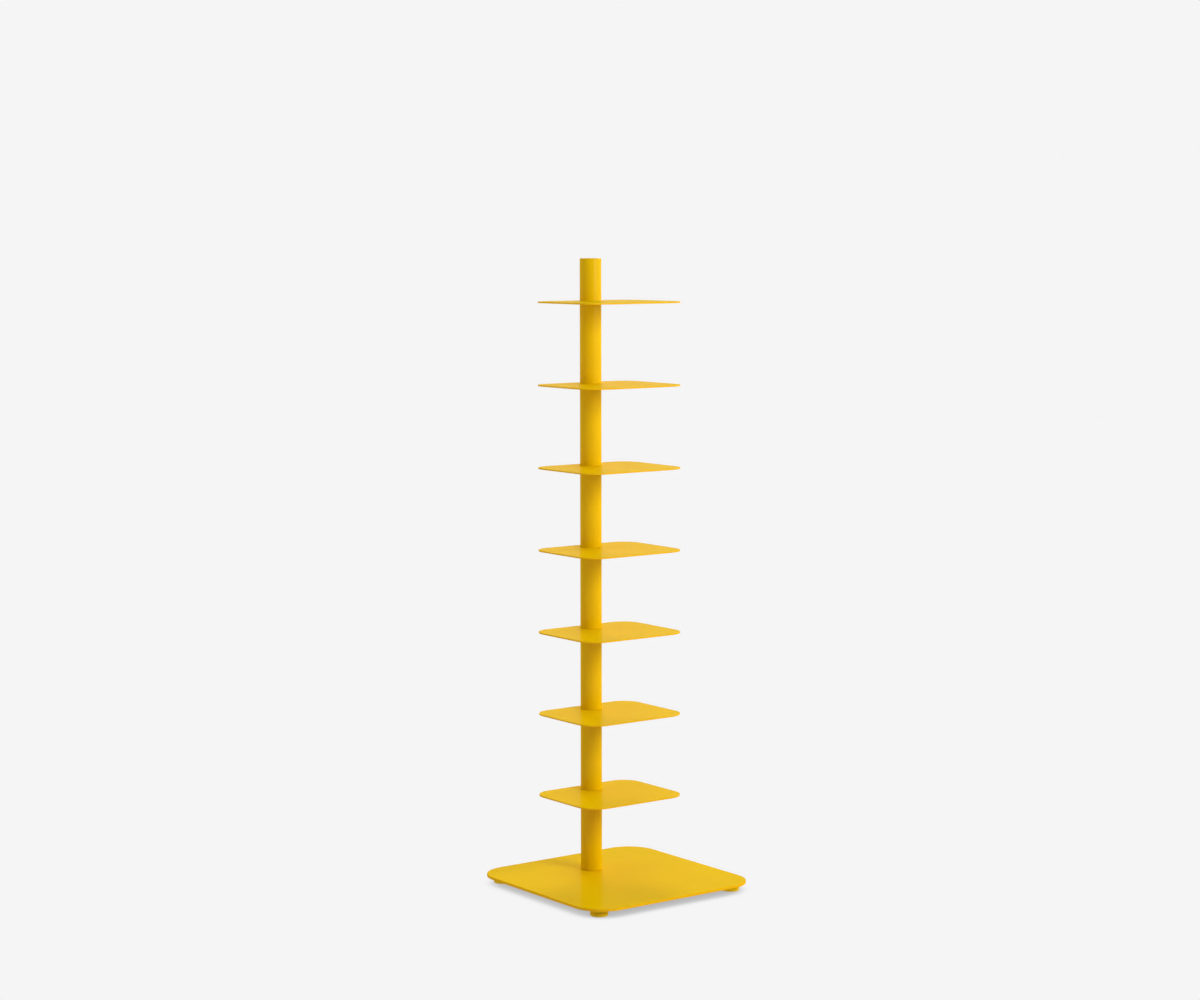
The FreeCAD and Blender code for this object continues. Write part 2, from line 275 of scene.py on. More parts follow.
def add_ring(builder, radius, height, steps):
    """Points on a circle about the Z axis, or one point where the radius is 0."""
    if not radius:
        return [builder.verts.new((0, 0, height))]
    turns = [math.tau * step / steps for step in range(steps)]
    return [builder.verts.new((radius * math.cos(turn), radius * math.sin(turn), height)) for turn in turns]


def bridge(builder, ring, following):
    """Faces between two rings, of which one may be a single point."""
    steps = max(len(ring), len(following))
    for step in range(steps):
        after = (step + 1) % steps
        if len(ring) == 1:
            builder.faces.new((ring[0], following[after], following[step]))
        elif len(following) == 1:
            builder.faces.new((ring[step], ring[after], following[0]))
        else:
            builder.faces.new((ring[step], ring[after], following[after], following[step]))


def square_mesh(name, builder):
    """A mesh with outward normals from a closed bmesh."""
    bmesh.ops.recalc_face_normals(builder, faces=builder.faces)
    mesh = bpy.data.meshes.new(name)
    builder.to_mesh(mesh)
    builder.free()
    return mesh


def soften(mesh, angle):
    """Smooth shading, with edges sharper than this angle kept hard."""
    builder = bmesh.new()
    builder.from_mesh(mesh)
    for face in builder.faces:
        face.smooth = True
    for edge in builder.edges:
        edge.smooth = len(edge.link_faces) == 2 and edge.calc_face_angle() < math.radians(angle)
    builder.to_mesh(mesh)
    builder.free()


def add_object(name, data):
    """A new object of this mesh, lamp or camera in the scene, at the origin."""
    item = bpy.data.objects.new(name, data)
    bpy.context.scene.collection.objects.link(item)
    return item


def turned(name, profile, axis, steps):
    """A piece turned from (radius, height) points about an upright axis.

    A profile that starts off the axis is a closed loop.
    """
    builder = bmesh.new()
    rings = [add_ring(builder, radius, height, steps) for radius, height in profile]
    pairs = list(zip(rings, rings[1:]))
    if profile[0][0]:
        pairs.append((rings[-1], rings[0]))
    for ring, following in pairs:
        bridge(builder, ring, following)
    bmesh.ops.translate(builder, verts=builder.verts, vec=axis)
    mesh = square_mesh(name, builder)
    soften(mesh, TURNED_ANGLE)
    return add_object(name, mesh)


def arc_points(centre_radius, centre_height, radius, start, steps=ROUND_EDGE_STEPS):
    """Points (radius, height) along a quarter circle, its start in degrees from the outward direction."""
    points = []
    for step in range(steps + 1):
        angle = math.radians(start + 90 * step / steps)
        points.append((centre_radius + radius * math.cos(angle), centre_height + radius * math.sin(angle)))
    return points


def settle(piece):
    """Turns a piece's modifiers into plain mesh."""
    bpy.context.view_layer.update()
    graph = bpy.context.evaluated_depsgraph_get()
    mesh = bpy.data.meshes.new_from_object(
        piece.evaluated_get(graph), preserve_all_data_layers=True, depsgraph=graph)
    mesh.name = piece.name
    piece.modifiers.clear()
    piece.data = mesh


def flatten(piece):
    """Weights a piece's normals towards its flat faces, and settles it."""
    weighted = piece.modifiers.new("Flat faces", "WEIGHTED_NORMAL")
    weighted.keep_sharp = True
    settle(piece)


def fit_piece(piece, material, body, nodes):
    """Gives a finished piece its finish, its body and the nodes that it stands for."""
    piece.data.materials.clear()
    piece.data.materials.append(material)
    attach(piece, body)
    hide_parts(*nodes)


# Node trees

class NodeMaker:
    """Adds nodes to a tree and links them by socket."""

    def __init__(self, tree):
        self.tree = tree

    def add(self, kind, inputs=None, **settings):
        """A node of this kind; inputs maps socket names or numbers to sockets or plain values."""
        node = self.tree.nodes.new(kind)
        for key, value in settings.items():
            setattr(node, key, value)
        for socket, value in (inputs or {}).items():
            target = node.inputs[socket]
            if isinstance(value, bpy.types.NodeSocket):
                self.tree.links.new(value, target)
            else:
                target.default_value = value
        return node

    def out(self, kind, inputs=None, **settings):
        """First output of a new node."""
        return self.add(kind, inputs, **settings).outputs[0]

    def math(self, operation, first, second=0.0):
        """Result of a Math node."""
        return self.out("ShaderNodeMath", {0: first, 1: second}, operation=operation)

    def vector(self, x=0.0, y=0.0, z=0.0):
        """Vector of three numbers."""
        return self.out("ShaderNodeCombineXYZ", {0: x, 1: y, 2: z})

    def parts(self, vector):
        """The three numbers of a vector."""
        return self.add("ShaderNodeSeparateXYZ", {0: vector}).outputs

    def spread(self, value, span, result):
        """Number that goes along the result's range as the value goes along its own span."""
        return self.out("ShaderNodeMapRange", {0: value, 1: span[0], 2: span[1], 3: result[0], 4: result[1]})

    def moved(self, geometry, place):
        """Geometry moved by this much."""
        return self.out("GeometryNodeTransform", {"Geometry": geometry, "Translation": place})

    def joined(self, *shapes):
        """Several geometries as one."""
        node = self.add("GeometryNodeJoinGeometry")
        for shape in shapes:
            self.tree.links.new(shape, node.inputs[0])
        return node.outputs[0]

    def on_circle(self, shape, count, radius):
        """Copies of a shape on a circle round the origin, the first at the back."""
        index = self.out("GeometryNodeInputIndex")
        turn = self.math("MULTIPLY", self.math("DIVIDE", math.tau, count), index)
        turn = self.math("ADD", turn, math.pi / 2)
        place = self.vector(self.math("MULTIPLY", self.math("COSINE", turn), radius),
                            self.math("MULTIPLY", self.math("SINE", turn), radius))
        points = self.out("GeometryNodePoints", {"Count": count, "Position": place})
        return self.out("GeometryNodeInstanceOnPoints", {"Points": points, "Instance": shape})


def new_group(name, kind, inputs, outputs):
    """An empty node group with these named sockets, its node maker and its input sockets."""
    group = bpy.data.node_groups.new(name, kind)
    for in_out, sockets in (("OUTPUT", outputs), ("INPUT", inputs)):
        for label, value in sockets.items():
            group.interface.new_socket(label, in_out=in_out, socket_type=f"NodeSocket{value}")
    maker = NodeMaker(group)
    return group, maker, maker.add("NodeGroupInput").outputs


def shape_tree(name, inputs):
    """An empty geometry tree with these named inputs and one for its material."""
    return new_group(name, "GeometryNodeTree", {**inputs, "Material": "Material"}, {"Geometry": "Geometry"})


def end_tree(maker, geometry, material):
    """Realizes the shape, gives it its material and puts it out."""
    whole = maker.out("GeometryNodeRealizeInstances", {0: geometry})
    dressed = maker.out("GeometryNodeSetMaterial", {"Geometry": whole, "Material": material})
    maker.add("NodeGroupOutput", {0: dressed})


def plate_tree(name):
    """Flat plate with round corners and round holes on a circle."""
    tree, maker, given = shape_tree(name, {
        "Width": "Float", "Depth": "Float", "Corner Radius": "Float", "Corner Steps": "Int",
        "Thickness": "Float", "Hole Radius": "Float", "Hole Steps": "Int", "Hole Count": "Int",
        "Hole Circle": "Float", "Hole Centre": "Vector", "Plate Centre": "Vector", "Bottom": "Float",
    })
    # The fill always lies at height 0, so the shape is drawn there and raised at the end.
    box = maker.out("GeometryNodeCurvePrimitiveQuadrilateral", {
        "Width": given["Width"], "Height": given["Depth"],
    })
    rounded = maker.out("GeometryNodeFilletCurve", {
        "Curve": box, "Count": given["Corner Steps"], "Radius": given["Corner Radius"],
    }, mode="POLY")
    hole = maker.out("GeometryNodeCurvePrimitiveCircle", {
        "Resolution": given["Hole Steps"], "Radius": given["Hole Radius"],
    })
    holes = maker.on_circle(hole, given["Hole Count"], given["Hole Circle"])
    holes = maker.out("GeometryNodeRealizeInstances", {0: holes})
    curves = maker.joined(
        maker.moved(rounded, given["Plate Centre"]), maker.moved(holes, given["Hole Centre"]))
    sheet = maker.out("GeometryNodeFillCurve", {"Curve": curves}, mode="NGONS")
    raised = maker.out("GeometryNodeExtrudeMesh", {
        "Mesh": sheet, "Offset": maker.vector(z=given["Thickness"]), "Offset Scale": 1.0, "Individual": False,
    }, mode="FACES")
    shell = maker.joined(raised, maker.out("GeometryNodeFlipFaces", {"Mesh": sheet}))
    closed = maker.out("GeometryNodeMergeByDistance", {"Geometry": shell, "Distance": MERGE_DISTANCE})
    smooth = maker.out("GeometryNodeSetShadeSmooth", {"Geometry": closed})
    end_tree(maker, maker.moved(smooth, maker.vector(z=given["Bottom"])), given["Material"])
    return tree


def weld_tree(name):
    """Rippled weld bead round the column, repeated up it at one spacing."""
    tree, maker, given = shape_tree(name, {
        "Ring Radius": "Float", "Bead Radius": "Float", "Ripples": "Int", "Ripple Height": "Float",
        "Unevenness": "Float", "Count": "Int", "Spacing": "Float", "First Place": "Vector",
    })
    steps_in_ripple = 6
    steps_in_section = 14
    crest = 0.35        # where along a ripple its highest point lies
    lumps = 160.0       # scale of the noise that makes the bead uneven
    steps = maker.math("MULTIPLY", given["Ripples"], steps_in_ripple)
    ring = maker.out("GeometryNodeCurvePrimitiveCircle", {
        "Resolution": steps, "Radius": given["Ring Radius"],
    })
    index = maker.out("GeometryNodeInputIndex")
    phase = maker.math("FRACT", maker.math("DIVIDE", index, steps_in_ripple))
    fall = maker.math("POWER", maker.math("SUBTRACT", phase, crest), 2.0)
    ripple = maker.math("MULTIPLY", maker.math("SUBTRACT", 1.0, fall), given["Ripple Height"])
    place = maker.out("GeometryNodeInputPosition")
    noise = maker.out("ShaderNodeTexNoise", {"Vector": place, "Scale": lumps, "Detail": 1.0})
    uneven = maker.math("MULTIPLY", maker.math("SUBTRACT", noise, 0.5), given["Unevenness"])
    share = maker.math("ADD", ripple, uneven)
    share = maker.math("ADD", share, maker.math("SUBTRACT", 1.0, given["Ripple Height"]))
    size = maker.math("MULTIPLY", share, given["Bead Radius"])
    thick = maker.out("GeometryNodeSetCurveRadius", {"Curve": ring, "Radius": size})
    section = maker.out("GeometryNodeCurvePrimitiveCircle", {"Resolution": steps_in_section, "Radius": 1.0})
    bead = maker.out("GeometryNodeCurveToMesh", {"Curve": thick, "Profile Curve": section, "Scale": size})
    smooth = maker.out("GeometryNodeSetShadeSmooth", {"Geometry": bead})
    levels = maker.out("GeometryNodeMeshLine", {
        "Count": given["Count"], "Start Location": given["First Place"],
        "Offset": maker.vector(z=given["Spacing"]),
    })
    rings = maker.out("GeometryNodeInstanceOnPoints", {"Points": levels, "Instance": smooth})
    end_tree(maker, rings, given["Material"])
    return tree


def thread_tree(name):
    """Threaded bar on the Z axis with a bevelled tip, from z = 0 up."""
    tree, maker, given = shape_tree(name, {
        "Radius": "Float", "Length": "Float", "Pitch": "Float", "Depth": "Float", "Plain Length": "Float",
        "Tip Bevel": "Float",
    })
    sides = 40
    rows_in_pitch = 10
    flank_span = (0.06, 0.44)       # in pitches from the middle of a crest, where its flank starts and ends
    pitches = maker.math("DIVIDE", given["Length"], given["Pitch"])
    rows = maker.math("ROUND", maker.math("MULTIPLY", pitches, rows_in_pitch))
    bar = maker.out("GeometryNodeMeshCylinder", {
        "Vertices": sides, "Side Segments": rows, "Fill Segments": 1, "Radius": given["Radius"],
        "Depth": given["Length"],
    }, fill_type="NGON")
    stood = maker.moved(bar, maker.vector(z=maker.math("MULTIPLY", given["Length"], 0.5)))
    parts = maker.parts(maker.out("GeometryNodeInputPosition"))
    turn = maker.math("DIVIDE", maker.math("ARCTAN2", parts[1], parts[0]), math.tau)
    phase = maker.math("FRACT", maker.math("SUBTRACT", maker.math("DIVIDE", parts[2], given["Pitch"]), turn))
    flank = maker.math("ABSOLUTE", maker.math("SUBTRACT", phase, 0.5))
    crest = maker.spread(flank, flank_span, (1.0, 0.0))
    plain = maker.math("LESS_THAN", parts[2], given["Plain Length"])
    hollow = maker.math("SUBTRACT", 1.0, maker.math("MAXIMUM", crest, plain))
    radius = maker.math("SUBTRACT", given["Radius"], maker.math("MULTIPLY", hollow, given["Depth"]))
    left = maker.math("SUBTRACT", given["Length"], parts[2])
    tip = maker.math("ADD", maker.math("SUBTRACT", given["Radius"], given["Tip Bevel"]), left)
    share = maker.math("DIVIDE", maker.math("MINIMUM", radius, tip), given["Radius"])
    place = maker.vector(
        maker.math("MULTIPLY", parts[0], share), maker.math("MULTIPLY", parts[1], share), parts[2])
    threaded = maker.out("GeometryNodeSetPosition", {"Geometry": stood, "Position": place})
    end_tree(maker, threaded, given["Material"])
    return tree


def ring_tree(name):
    """Copies of one object on a circle, the first at the back."""
    tree, maker, given = shape_tree(name, {
        "Piece": "Object", "Count": "Int", "Circle Radius": "Float", "Centre": "Vector",
    })
    piece = maker.add("GeometryNodeObjectInfo", {"Object": given["Piece"]}).outputs["Geometry"]
    copies = maker.on_circle(piece, given["Count"], given["Circle Radius"])
    end_tree(maker, maker.moved(copies, given["Centre"]), given["Material"])
    return tree


def grain_group(name):
    """Soft dimples and fine grain of a sprayed or moulded skin, with a slow unevenness."""
    group, maker, given = new_group(
        name, "ShaderNodeTree", {"Vector": "Vector", "Dimple Size": "Float", "Fine Share": "Float"},
        {"Height": "Float", "Unevenness": "Float"})
    scale = maker.math("DIVIDE", 1.0, given["Dimple Size"])
    fine_scale = maker.math("MULTIPLY", scale, 7.0)
    slow_scale = 9.0
    dimples, fine, slow = [
        maker.out("ShaderNodeTexNoise", {
            "Vector": given["Vector"], "Scale": noise_scale, "Detail": detail, "Roughness": roughness,
        })
        for noise_scale, detail, roughness in (
            (scale, 1.5, 0.4), (fine_scale, 2.0, 0.6), (slow_scale, 3.0, 0.5))
    ]
    height = maker.math("ADD", dimples, maker.math("MULTIPLY", fine, given["Fine Share"]))
    maker.add("NodeGroupOutput", {0: height, 1: slow})
    return group


def upright_group(name):
    """Mask that is 1 on upright faces and 0 on level ones, by which the coat paints a shaded hue on upright
    faces.
    """
    group, maker, _given = new_group(name, "ShaderNodeTree", {}, {"Mask": "Float"})
    blend_span = (0.25, 0.8)        # from upright to level, over a plate's softened edge
    facing = maker.add("ShaderNodeTexCoord").outputs["Normal"]
    level = maker.math("ABSOLUTE", maker.parts(facing)[2])
    maker.add("NodeGroupOutput", {0: maker.spread(level, blend_span, (1.0, 0.0))})
    return group


NODE_GROUPS = {
    "Rounded plate": plate_tree,
    "Weld rings": weld_tree,
    "Threaded bar": thread_tree,
    "Pieces on a circle": ring_tree,
    "Skin grain": grain_group,
    "Upright mask": upright_group,
}


def group_named(name):
    """The node group of this name, built the first time that it is asked for."""
    return bpy.data.node_groups.get(name) or NODE_GROUPS[name](name)


def grow(name, tree_name, material, values):
    """A new object that carries this tree, with its named inputs and its material set."""
    tree = group_named(tree_name)
    given = {**values, "Material": material}
    piece = add_object(name, bpy.data.meshes.new(name))
    modifier = piece.modifiers.new(tree.name, "NODES")
    modifier.node_group = tree
    for item in tree.interface.items_tree:
        if item.item_type == "SOCKET" and item.in_out == "INPUT":
            modifier[item.identifier] = given[item.name]
    return piece


# Finishes

def emptied_tree(owner):
    """The node tree of a material or a world, with nothing in it."""
    owner.use_nodes = True
    owner.node_tree.nodes.clear()
    return owner.node_tree


class FinishMaker(NodeMaker):
    """Makes a material of one Principled BSDF and the skin grain on Object coordinates."""

    def __init__(self, name, dimple_size, fine_share, **constants):
        self.material = bpy.data.materials.new(name)
        super().__init__(emptied_tree(self.material))
        self.shader = self.add("ShaderNodeBsdfPrincipled")
        for label, value in constants.items():
            self.shader.inputs[label.replace("_", " ")].default_value = value
        self.add("ShaderNodeOutputMaterial", {"Surface": self.shader.outputs[0]})
        self.place = self.add("ShaderNodeTexCoord").outputs["Object"]
        grain = self.add("ShaderNodeGroup", {
            "Vector": self.place, "Dimple Size": dimple_size, "Fine Share": fine_share,
        }, node_tree=group_named("Skin grain"))
        self.height = grain.outputs["Height"]
        self.unevenness = grain.outputs["Unevenness"]

    def dress(self, colour, shade, rough, height, depth):
        """Shades the colour, links it, the roughness and the bumps to the shader, and ends the material."""
        surface = {
            "Base Color": self.out("ShaderNodeVectorMath", {0: colour, "Scale": shade}, operation="SCALE"),
            "Roughness": rough,
            "Normal": self.out("ShaderNodeBump", {"Height": height, "Distance": depth}),
        }
        for label, socket in surface.items():
            self.tree.links.new(socket, self.shader.inputs[label])
        return self.material


def coat(name, upright_colour):
    """Satin yellow powder coat with soft dimples; upright faces take another colour, which on the plates is
    painted shade.
    """
    look = bpy.context.scene.shelf_coat
    maker = FinishMaker(
        name, dimple_size=look.peel_size, fine_share=0.25, Coat_Roughness=0.22, **SATIN_SKIN)
    # Upright faces blend into the upright colour; on the plates that deeper colour is painted shade.
    upright = maker.out("ShaderNodeGroup", node_tree=group_named("Upright mask"))
    mixed = maker.add("ShaderNodeMix", {
        "Factor": upright, "A": (*look.coat_colour, 1.0), "B": (*upright_colour, 1.0),
    }, data_type="RGBA")
    return maker.dress(
        mixed.outputs["Result"],
        shade=maker.spread(maker.unevenness, NOISE_SPAN, (0.965, 1.0)),
        rough=maker.spread(maker.unevenness, NOISE_SPAN, (0.28, 0.34)),
        height=maker.height, depth=look.peel_depth)


def plate_coat(name):
    """The powder coat of the plates, with painted shade: a deeper, more orange colour on their upright edges.
    """
    return coat(name, bpy.context.scene.shelf_coat.shaded_edge_colour)


def tube_coat(name):
    """The powder coat of the column, its welds and the feet."""
    return coat(name, bpy.context.scene.shelf_coat.tube_colour)


def cap_plastic(name):
    """Satin moulded plastic in the coat's colour."""
    maker = FinishMaker(name, dimple_size=0.5 * MM, fine_share=0.5, Coat_Roughness=0.26, **SATIN_SKIN)
    return maker.dress(
        tuple(bpy.context.scene.shelf_coat.tube_colour),
        shade=maker.spread(maker.unevenness, NOISE_SPAN, (0.95, 1.0)),
        rough=maker.spread(maker.unevenness, NOISE_SPAN, (0.32, 0.38)),
        height=maker.height, depth=0.006 * MM)


def plated_steel(name):
    """Zinc-plated steel with fine turning marks."""
    maker = FinishMaker(name, dimple_size=0.6 * MM, fine_share=0.8, Metallic=1.0)
    mark_scale = 9000.0
    level_share = 0.03      # of the upright scale, which draws the noise out into level lines
    parts = maker.parts(maker.place)
    rows = maker.vector(maker.math("MULTIPLY", parts[0], level_share),
                        maker.math("MULTIPLY", parts[1], level_share), parts[2])
    marks = maker.out("ShaderNodeTexNoise", {"Vector": rows, "Scale": mark_scale, "Detail": 2.0})
    return maker.dress(
        tuple(bpy.context.scene.shelf_coat.steel_colour),
        shade=maker.spread(maker.unevenness, NOISE_SPAN, (0.88, 1.0)),
        rough=maker.spread(marks, NOISE_SPAN, (0.24, 0.4)),
        height=maker.math("ADD", maker.height, marks), depth=0.003 * MM)


def pad_nylon(name):
    """Matt grey nylon with moulding grain and scuffs."""
    maker = FinishMaker(name, dimple_size=0.8 * MM, fine_share=1.0, Metallic=0.0)
    return maker.dress(
        tuple(bpy.context.scene.shelf_coat.pad_colour),
        shade=maker.spread(maker.height, (0.5, 1.4), (0.7, 1.3)),
        rough=maker.spread(maker.unevenness, NOISE_SPAN, (0.55, 0.75)),
        height=maker.height, depth=0.02 * MM)


FINISHES = {
    "satin_plate_coat": plate_coat,
    "satin_tube_coat": tube_coat,
    "satin_cap_plastic": cap_plastic,
    "zinc_plated_steel": plated_steel,
    "matt_grey_nylon": pad_nylon,
}


def finish(name):
    """The finish of this name, made the first time that it is asked for."""
    return bpy.data.materials.get(name) or FINISHES[name](name)


# Pieces

def add_plate(node, corner_radius, edge_radius, holes):
    """A flat plate that fills a node's box, with softened edges and holes about the column's axis."""
    plates = bpy.context.scene.shelf_plates
    low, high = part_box(node)
    piece = grow(f"coated_{node}", "Rounded plate", finish("satin_plate_coat"), {
        "Width": high.x - low.x,
        "Depth": high.y - low.y,
        "Corner Radius": corner_radius,
        "Corner Steps": plates.corner_steps,
        "Thickness": high.z - low.z,
        "Hole Centre": tuple(COLUMN_AXIS),
        "Plate Centre": tuple(middle(low, high)),
        "Bottom": low.z,
        **holes,
    })
    bevel = piece.modifiers.new("Soft edges", "BEVEL")
    bevel.width = edge_radius
    bevel.segments = plates.edge_steps
    bevel.limit_method = "ANGLE"
    bevel.angle_limit = math.radians(BEVEL_ANGLE)
    flatten(piece)
    return piece


class BOOKSHELF_OT_shelves(bpy.types.Operator):
    """Build the shelves, one piece for each"""

    bl_idname = "bookshelf.shelves"
    bl_label = "Shelves"

    def execute(self, context):
        plates = context.scene.shelf_plates
        for node in SHELF_NODES:
            piece = add_plate(node, plates.shelf_corner, plates.shelf_edge, {
                "Hole Radius": COLUMN_RADIUS + plates.hole_gap,
                "Hole Steps": context.scene.shelf_column.round_steps,
                "Hole Count": 1,
                "Hole Circle": 0.0,
            })
            fit_piece(piece, finish("satin_plate_coat"), "frame", [node])
        return {"FINISHED"}


class BOOKSHELF_OT_base(bpy.types.Operator):
    """Build the base plate with its screw holes and the blind holes over the feet"""

    bl_idname = "bookshelf.base"
    bl_label = "Base Plate"

    def execute(self, context):
        plates = context.scene.shelf_plates
        screws = context.scene.shelf_screws
        piece = add_plate("base_plate", plates.base_corner, plates.base_edge, {
            "Hole Radius": screws.radius + screws.hole_gap,
            "Hole Steps": SCREW_HOLE_STEPS,
            "Hole Count": screws.count,
            "Hole Circle": screws.circle,
        })
        self.drill(piece, context.scene.shelf_feet)
        fit_piece(piece, finish("satin_plate_coat"), "frame", ["base_plate"])
        return {"FINISHED"}

    def drill(self, piece, feet):
        """Cuts the blind hole over each foot from the plate's underside."""
        start_below = 1 * MM
        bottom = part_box("base_plate")[0].z - start_below
        cutter = bmesh.new()
        for number in FOOT_NUMBERS:
            low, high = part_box(f"foot_stud_{number}")
            radius = half_width(low, high) + feet.running_gap
            top = high.z + feet.stud_tip_gap
            place = Matrix.Translation(middle(low, high) + Vector((0, 0, (top + bottom) / 2)))
            bmesh.ops.create_cone(cutter, cap_ends=True, segments=STUD_HOLE_STEPS, radius1=radius,
                                  radius2=radius, depth=top - bottom, matrix=place)
        tool = add_object("drill", square_mesh("drill", cutter))
        cut = piece.modifiers.new("Blind holes", "BOOLEAN")
        cut.object = tool
        cut.operation = "DIFFERENCE"
        cut.solver = "EXACT"
        settle(piece)
        bpy.data.objects.remove(tool)
        soften(piece.data, PLATE_ANGLE)
        flatten(piece)


class BOOKSHELF_OT_column(bpy.types.Operator):
    """Build the column's tube and its cap"""

    bl_idname = "bookshelf.column"
    bl_label = "Column"

    def execute(self, context):
        column = context.scene.shelf_column
        self.tube(column)
        self.cap(column)
        return {"FINISHED"}

    def tube(self, column):
        """Round tube with a fine bevel on its outer edges."""
        low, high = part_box("column_tube")
        bore = COLUMN_RADIUS - column.wall
        piece = turned("coated_column_tube", [
            (bore, low.z),
            (COLUMN_RADIUS - column.seam, low.z),
            (COLUMN_RADIUS, low.z + column.seam),
            (COLUMN_RADIUS, high.z - column.seam),
            (COLUMN_RADIUS - column.seam, high.z),
            (bore, high.z),
        ], COLUMN_AXIS, column.round_steps)
        fit_piece(piece, finish("satin_tube_coat"), "frame", ["column_tube"])

    def cap(self, column):
        """Round rim over a hollow ribbed skirt."""
        low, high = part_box("column_cap")
        rim_bottom = high.z - column.cap_rim
        rib_radius = half_width(*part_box("column_plug"))
        skirt = rib_radius - column.cap_rib_depth
        hollow = skirt - column.cap_skirt
        pitch = (rim_bottom - low.z) / column.cap_ribs
        profile = [(0, rim_bottom), (hollow, rim_bottom), (hollow, low.z), (skirt, low.z)]
        for index in range(column.cap_ribs):
            rib_bottom = low.z + pitch * index + (pitch - column.cap_rib_height) / 2
            profile += [
                (skirt, rib_bottom),
                (rib_radius, rib_bottom + column.cap_rib_height / 2),
                (rib_radius, rib_bottom + column.cap_rib_height),
                (skirt, rib_bottom + column.cap_rib_height),
            ]
        profile += [
            (skirt, rim_bottom),
            (COLUMN_RADIUS - column.seam, rim_bottom),
            (COLUMN_RADIUS, rim_bottom + column.seam),
        ]
        profile += arc_points(COLUMN_RADIUS - column.cap_edge, high.z - column.cap_edge, column.cap_edge, 0)
        profile.append((0, high.z))
        piece = turned("moulded_column_cap", profile, COLUMN_AXIS, column.round_steps)
        fit_piece(piece, finish("satin_cap_plastic"), "frame", ["column_cap"])


class BOOKSHELF_OT_welds(bpy.types.Operator):
    """Build the rippled weld under each shelf"""

    bl_idname = "bookshelf.welds"
    bl_label = "Shelf Welds"

    def execute(self, context):
        column = context.scene.shelf_column
        undersides = [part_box(node)[0].z for node in SHELF_NODES]
        sunk = column.weld_leg * WELD_SUNK
        piece = grow("coated_shelf_welds", "Weld rings", finish("satin_tube_coat"), {
            "Ring Radius": COLUMN_RADIUS + sunk,
            "Bead Radius": column.weld_leg - sunk,
            "Ripples": column.weld_ripples,
            "Ripple Height": column.ripple_height,
            "Unevenness": column.unevenness,
            "Count": len(undersides),
            "Spacing": undersides[1] - undersides[0],
            "First Place": (COLUMN_AXIS.x, COLUMN_AXIS.y, undersides[0] - sunk),
        })
        settle(piece)
        fit_piece(piece, finish("satin_tube_coat"), "frame", ["shelf_welds"])
        return {"FINISHED"}


class BOOKSHELF_OT_feet(bpy.types.Operator):
    """Build each levelling foot: boss, disc, threaded stud and swivel pad"""

    bl_idname = "bookshelf.feet"
    bl_label = "Levelling Feet"

    def execute(self, context):
        feet = context.scene.shelf_feet
        for number in FOOT_NUMBERS:
            axis = middle(*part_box(f"foot_stud_{number}"))
            self.boss(number, axis, feet)
            self.disc(number, axis, feet)
            self.stud(number, axis, feet)
            self.pad(number, axis, feet)
        return {"FINISHED"}

    def boss(self, number, axis, feet):
        """Boss under the plate, bored for the stud."""
        low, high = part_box(f"foot_boss_{number}")
        radius = half_width(low, high)
        bore = half_width(*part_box(f"foot_stud_{number}")) + feet.running_gap
        piece = turned(f"coated_foot_boss_{number}", [
            (bore, low.z),
            (radius - feet.boss_bevel, low.z),
            (radius, low.z + feet.boss_bevel),
            (radius, high.z),
            (bore, high.z),
        ], axis, feet.round_steps)
        fit_piece(piece, finish("satin_tube_coat"), "frame", [f"foot_boss_{number}"])

    def disc(self, number, axis, feet):
        """Disc with the stud's seat above and the pad's recess below."""
        low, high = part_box(f"foot_glide_{number}")
        stud_low, stud_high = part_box(f"foot_stud_{number}")
        pad_low, pad_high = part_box(f"foot_pad_{number}")
        radius = half_width(low, high)
        seat = half_width(stud_low, stud_high) + feet.press_gap
        recess = half_width(pad_low, pad_high) + feet.running_gap
        recess_top = feet.pad_thickness + feet.running_gap / 2
        pivot = feet.pivot_radius + feet.running_gap
        pivot_top = pad_high.z + feet.running_gap
        edge = feet.disc_bottom_round
        profile = [
            (0, pivot_top),
            (pivot, pivot_top),
            (pivot, recess_top),
            (recess, recess_top),
            (recess, low.z),
        ]
        profile += arc_points(radius - edge, low.z + edge, edge, -90)
        profile += [
            (radius, high.z - feet.disc_top_bevel),
            (radius - feet.disc_top_bevel, high.z),
            (seat, high.z),
            (seat, stud_low.z),
            (0, stud_low.z),
        ]
        piece = turned(f"coated_foot_disc_{number}", profile, axis, feet.round_steps)
        fit_piece(piece, finish("satin_tube_coat"), f"foot_{number}",
                  [f"foot_glide_{number}"])

    def stud(self, number, axis, feet):
        """Threaded stud, plain where it sits in the disc."""
        low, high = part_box(f"foot_stud_{number}")
        disc_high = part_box(f"foot_glide_{number}")[1]
        piece = grow(f"foot_thread_{number}", "Threaded bar", finish("zinc_plated_steel"), {
            "Radius": half_width(low, high),
            "Length": high.z - low.z,
            "Pitch": feet.stud_pitch,
            "Depth": feet.stud_pitch * THREAD_DEPTH,
            "Plain Length": disc_high.z - low.z,
            "Tip Bevel": feet.stud_tip_bevel,
        })
        settle(piece)
        piece.data.transform(Matrix.Translation((axis.x, axis.y, low.z)))
        soften(piece.data, THREAD_ANGLE)
        fit_piece(piece, finish("zinc_plated_steel"), f"foot_{number}",
                  [f"foot_stud_{number}"])

    def pad(self, number, axis, feet):
        """Swivel pad with a softened lower edge and its pivot."""
        low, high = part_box(f"foot_pad_{number}")
        radius = half_width(low, high)
        edge = feet.pad_edge
        profile = [(0, low.z)]
        profile += arc_points(radius - edge, low.z + edge, edge, -90, PAD_EDGE_STEPS)
        profile += [
            (radius, feet.pad_thickness),
            (feet.pivot_radius, feet.pad_thickness),
            (feet.pivot_radius, high.z),
            (0, high.z),
        ]
        piece = turned(f"swivel_pad_{number}", profile, axis, feet.round_steps)
        fit_piece(piece, finish("matt_grey_nylon"), f"foot_pad_{number}",
                  [f"foot_pad_{number}"])


